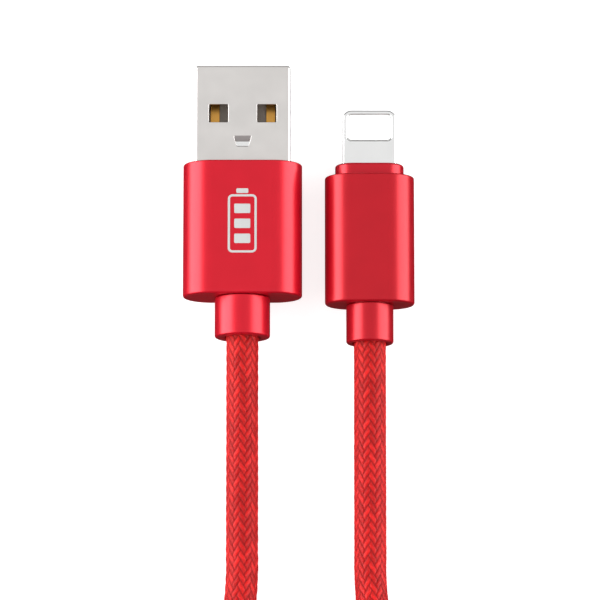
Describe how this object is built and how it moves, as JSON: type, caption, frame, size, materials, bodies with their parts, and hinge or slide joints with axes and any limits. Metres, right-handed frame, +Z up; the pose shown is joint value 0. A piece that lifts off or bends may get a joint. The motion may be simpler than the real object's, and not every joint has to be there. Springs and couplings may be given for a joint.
{
  "type": "charging cable",
  "caption": "Braided charging cable with a broad metal-cased USB-A plug and a slim tab plug, its spare cord wound into a tied hank.",
  "frame": {"origin": "the middle of the two plugs' footprint, on the surface that they lie on", "axes": "+Y towards the tips of both plugs, +Z up, +X from the USB-A plug towards the 8-pin plug"},
  "size_m": [0.0362, 0.1597, 0.0148],
  "materials": {
    "plug_steel": "folded steel sheet, nickel plated, satin",
    "dark_plastic": "moulded, matt",
    "grey_plastic": "moulded, matt",
    "gold_plate": "gold plated strip",
    "wire_red": "extruded wire insulation",
    "wire_white": "extruded wire insulation",
    "wire_green": "extruded wire insulation",
    "wire_black": "extruded wire insulation",
    "red_plastic": "moulded, fine satin",
    "red_anodised": "fine bead-blasted and anodised red",
    "bright_metal": "polished plate",
    "white_plastic": "moulded, smooth",
    "board_green": "solder resist",
    "red_braid": "braided nylon yarn",
    "tie_fabric": "hook-and-loop webbing"
  },
  "bodies": {
    "root": {"usb_shell": "plug_steel", "usb_insulator": "grey_plastic", "usb_contact_power": "gold_plate", "usb_contact_data_minus": "gold_plate", "usb_contact_data_plus": "gold_plate", "usb_contact_ground": "gold_plate", "usb_wire_power": "wire_red", "usb_wire_data_minus": "wire_white", "usb_wire_data_plus": "wire_green", "usb_wire_ground": "wire_black", "usb_inner_mould": "red_plastic", "usb_housing": "red_anodised", "usb_collar": "red_anodised", "pin_tab_frame": "bright_metal", "pin_insulator": "white_plastic", "pin_contact_1": "gold_plate", "pin_contact_2": "gold_plate", "pin_contact_3": "gold_plate", "pin_contact_4": "gold_plate", "pin_contact_5": "gold_plate", "pin_contact_6": "gold_plate", "pin_contact_7": "gold_plate", "pin_contact_8": "gold_plate", "pin_circuit_board": "board_green", "pin_chip": "dark_plastic", "pin_wire_power": "wire_red", "pin_wire_data_minus": "wire_white", "pin_wire_data_plus": "wire_green", "pin_wire_ground": "wire_black", "pin_inner_mould": "red_plastic", "pin_housing": "red_anodised", "pin_collar": "red_anodised", "cord_usb_lead": "red_braid", "cord_pin_lead": "red_braid", "cord_hank": "red_braid", "hank_tie": "tie_fabric"}
  },
  "joints": []
}
